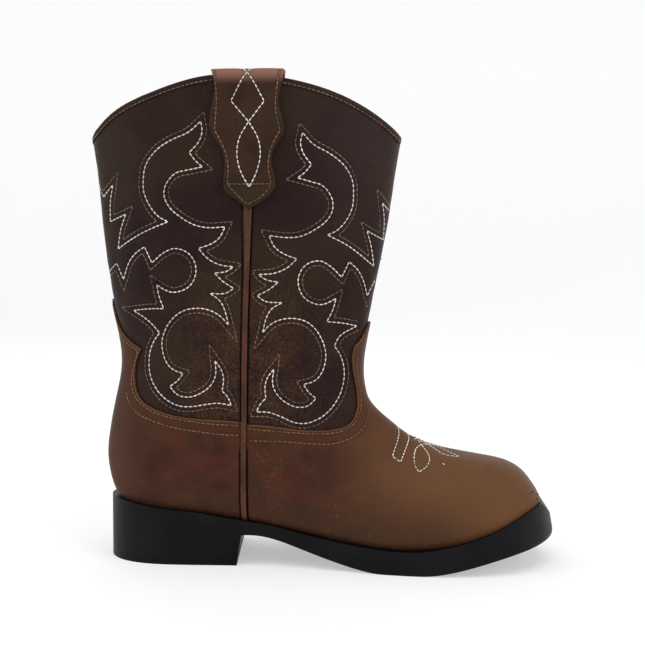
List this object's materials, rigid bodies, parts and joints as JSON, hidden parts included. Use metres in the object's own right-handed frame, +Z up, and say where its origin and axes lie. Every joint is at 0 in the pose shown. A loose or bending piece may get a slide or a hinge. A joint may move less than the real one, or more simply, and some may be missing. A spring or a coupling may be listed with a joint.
{
  "type": "cowboy boot",
  "caption": "Pull-on western boot with a scalloped shaft, pull straps, side beads, row-stitched panels and a one-piece moulded sole with a low block heel.",
  "frame": {"origin": "middle of the boot's footprint, on the surface it stands on", "axes": "+X towards the toe, +Y towards the inner (medial) side, +Z up"},
  "size_m": [0.2149, 0.0808, 0.2223],
  "materials": {
    "foot_leather": "waxed pebbled leather, semi-matte, lighter on its edges",
    "shaft_leather": "dark waxed pebbled leather with paler rubbed grain",
    "bead_leather": "folded leather bead, semi-matte",
    "strap_leather": "smooth leather, semi-matte",
    "strap_backing": "leather backing",
    "binding_leather": "rolled leather edge",
    "lining_cloth": "woven lining cloth",
    "interlining_cloth": "non-woven interlining",
    "stiffener_board": "thermoplastic-soaked fibre stiffener",
    "insole_fibreboard": "cellulose insole board",
    "footbed_foam": "EVA foam",
    "footbed_cloth": "cloth footbed cover",
    "filler_foam": "cork-loaded foam filler",
    "shank_steel": "spring steel strip",
    "sole_rubber": "moulded rubber, satin",
    "white_thread": "waxed off-white thread",
    "brown_thread": "waxed golden brown thread"
  },
  "bodies": {
    "root": {"vamp": "foot_leather", "counter": "foot_leather", "shaft_front": "shaft_leather", "shaft_back": "shaft_leather", "piping_lateral": "bead_leather", "piping_medial": "bead_leather", "toe_puff": "stiffener_board", "counter_stiffener": "stiffener_board", "vamp_interlining": "interlining_cloth", "shaft_lining_front": "lining_cloth", "shaft_lining_back": "lining_cloth", "vamp_lining": "lining_cloth", "heel_lining": "lining_cloth", "top_binding": "binding_leather", "pull_strap_lateral": "strap_leather", "pull_strap_medial": "strap_leather", "pull_strap_backing_lateral": "strap_backing", "pull_strap_backing_medial": "strap_backing", "insole_board": "insole_fibreboard", "footbed": "footbed_foam", "footbed_cover": "footbed_cloth", "shank": "shank_steel", "shank_rivets": "shank_steel", "bottom_filler": "filler_foam", "outsole": "sole_rubber"}
  },
  "joints": []
}
